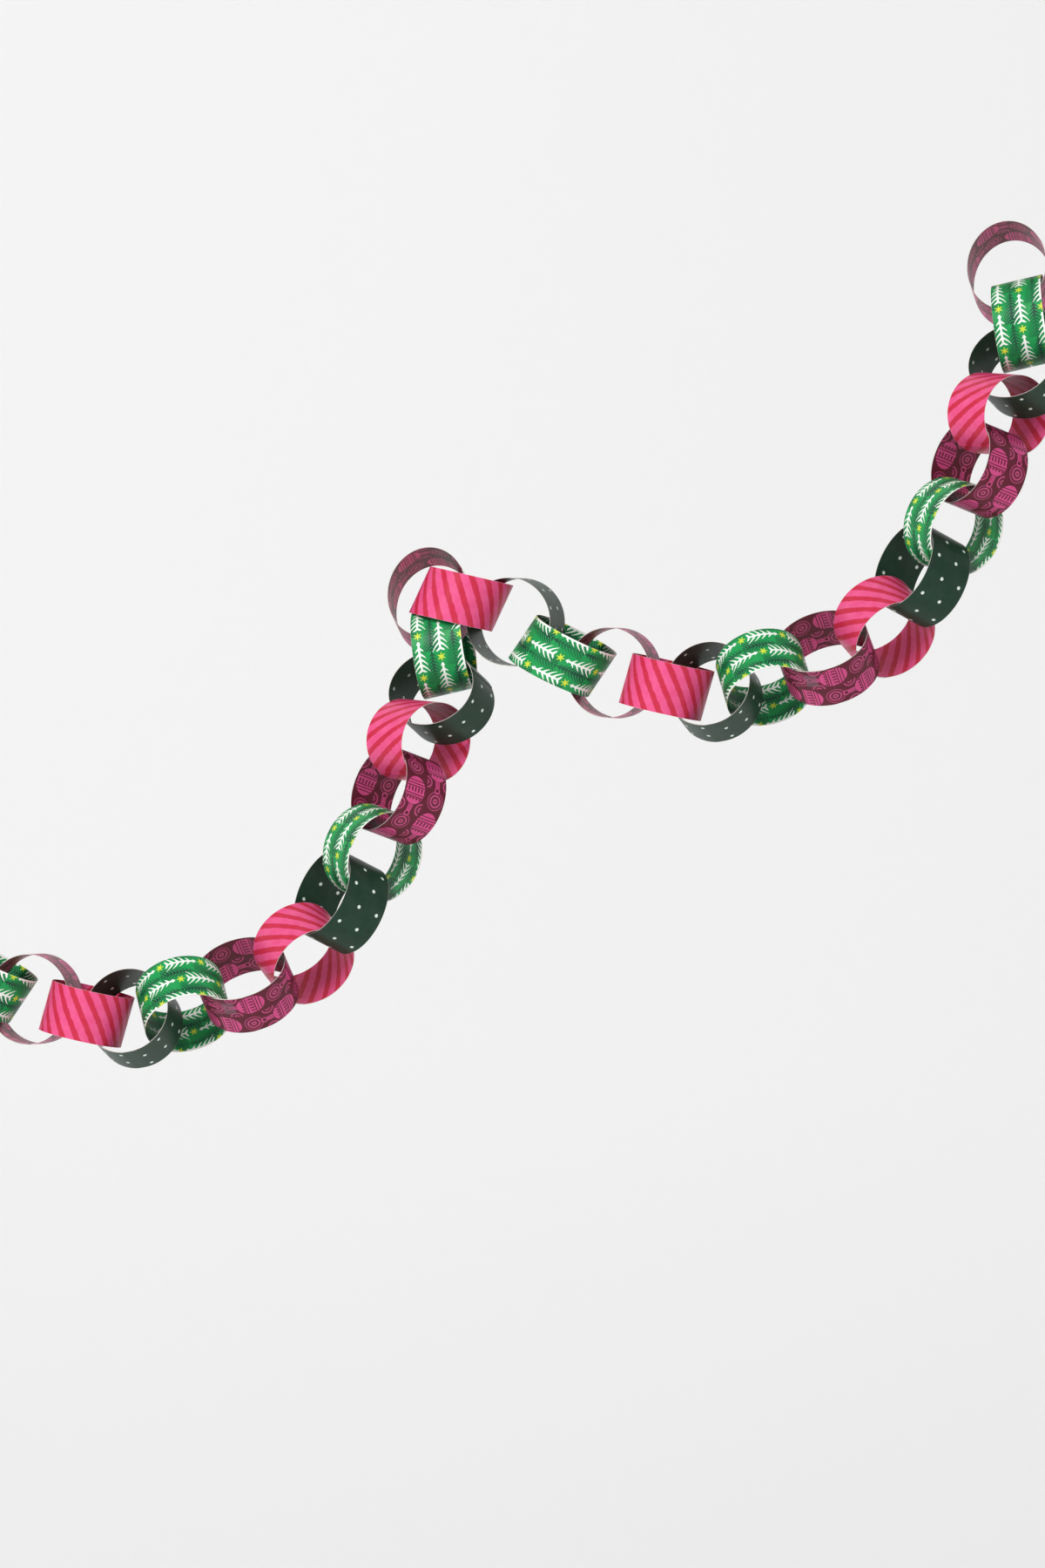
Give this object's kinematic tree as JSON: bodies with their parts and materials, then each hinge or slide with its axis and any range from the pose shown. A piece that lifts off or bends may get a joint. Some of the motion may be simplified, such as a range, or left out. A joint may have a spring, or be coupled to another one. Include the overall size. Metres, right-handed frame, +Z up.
{
  "type": "paper chain garland",
  "caption": "Garland of printed paper strips looped through one another, hung from hooks in swags.",
  "frame": {"origin": "where the highest link rests on its hook, at the middle of the inside of that link's top", "axes": "+Z up; the garland's length runs along X, falling from the highest hook towards -X; its face is towards -Y and the wall is on the +Y side"},
  "size_m": [0.8294, 0.1159, 0.5552],
  "materials": {
    "bauble_print": "satin burgundy paper printed with swirls and pink baubles, on both faces",
    "fir_print": "satin green paper printed with white frond trees and yellow stars, on both faces",
    "dot_print": "satin dark green paper printed with rows of pale dots, on both faces",
    "stripe_print": "satin paper printed with slanting pink and red stripes, on both faces"
  },
  "bodies": {
    "root": {"link_01_bauble": "bauble_print", "link_02_fir": "fir_print", "link_03_dot": "dot_print", "link_04_stripe": "stripe_print", "link_05_bauble": "bauble_print", "link_06_fir": "fir_print", "link_07_dot": "dot_print", "link_08_stripe": "stripe_print", "link_09_bauble": "bauble_print", "link_10_fir": "fir_print", "link_11_dot": "dot_print", "link_12_stripe": "stripe_print", "link_13_bauble": "bauble_print", "link_14_fir": "fir_print", "link_15_dot": "dot_print", "link_16_stripe": "stripe_print", "link_17_bauble": "bauble_print", "link_18_fir": "fir_print", "link_19_dot": "dot_print", "link_20_stripe": "stripe_print", "link_21_bauble": "bauble_print", "link_22_fir": "fir_print", "link_23_dot": "dot_print", "link_24_stripe": "stripe_print", "link_25_bauble": "bauble_print", "link_26_fir": "fir_print", "link_27_dot": "dot_print", "link_28_stripe": "stripe_print", "link_29_bauble": "bauble_print", "link_30_fir": "fir_print", "link_31_dot": "dot_print", "link_32_stripe": "stripe_print", "link_33_bauble": "bauble_print"}
  },
  "joints": []
}
